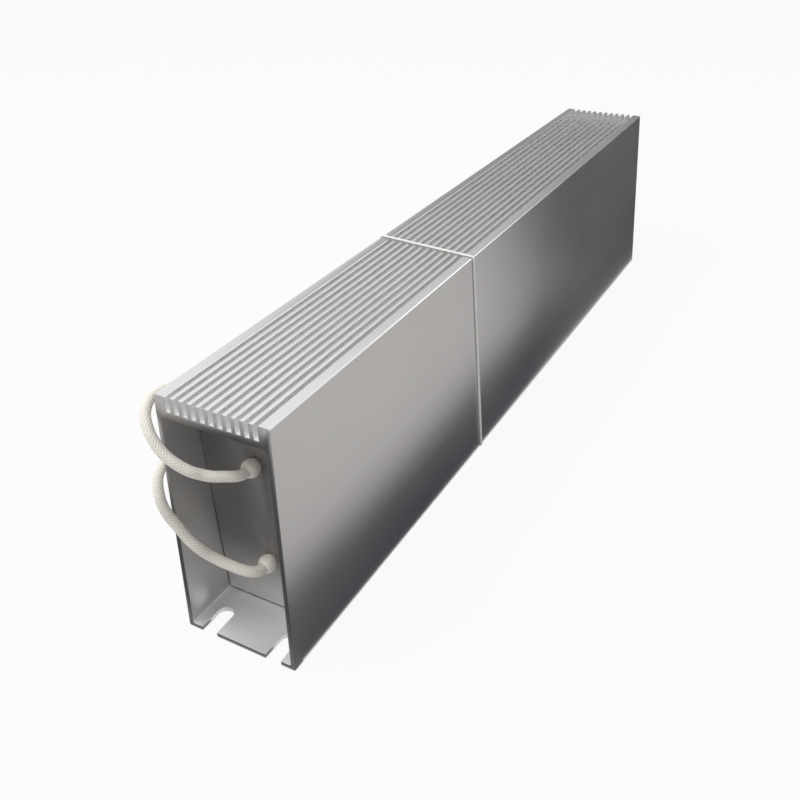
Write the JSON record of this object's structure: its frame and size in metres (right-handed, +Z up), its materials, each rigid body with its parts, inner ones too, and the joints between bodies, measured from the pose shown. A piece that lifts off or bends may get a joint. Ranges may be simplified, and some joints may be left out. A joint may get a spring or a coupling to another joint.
{
  "type": "aluminium housed power resistor",
  "caption": "Tall finned aluminium tube with recessed end plates, open base slots and sleeved leads tied back along one side; turns electrical power into heat.",
  "frame": {"origin": "centre of the housing's base, on the surface that it stands on", "axes": "+Z up from the base to the fins, +Y along the housing away from the lead end, +X across the width, towards the side without leads"},
  "size_m": [0.0714, 0.4073, 0.1047],
  "materials": {
    "housing_aluminium": "satin",
    "plate_aluminium": "satin",
    "cement": "matte",
    "mineral_powder": "matte",
    "mica": "satin",
    "resistance_wire": "satin",
    "plated_steel": "satin",
    "rivet_steel": "satin",
    "plated_copper": "satin",
    "bushing_ceramic": "satin",
    "lead_sleeve": "matte",
    "lug_tin": "satin",
    "tie_string": "matte"
  },
  "bodies": {
    "root": {"housing": "housing_aluminium", "front_end_plate": "plate_aluminium", "rear_end_plate": "plate_aluminium", "front_cement": "cement", "rear_cement": "cement", "powder_fill": "mineral_powder", "left_mica_sheet": "mica", "right_mica_sheet": "mica", "upper_board": "mica", "lower_board": "mica", "upper_winding": "resistance_wire", "lower_winding": "resistance_wire", "series_strip": "plated_steel", "upper_terminal": "plated_steel", "lower_terminal": "plated_steel", "strip_rivets": "rivet_steel", "terminal_rivets": "rivet_steel", "upper_splice": "plated_copper", "lower_splice": "plated_copper", "upper_conductor": "plated_copper", "lower_conductor": "plated_copper", "upper_bushing": "bushing_ceramic", "lower_bushing": "bushing_ceramic", "upper_lead": "lead_sleeve", "lower_lead": "lead_sleeve", "upper_lug": "lug_tin", "lower_lug": "lug_tin", "tie": "tie_string"}
  },
  "joints": []
}
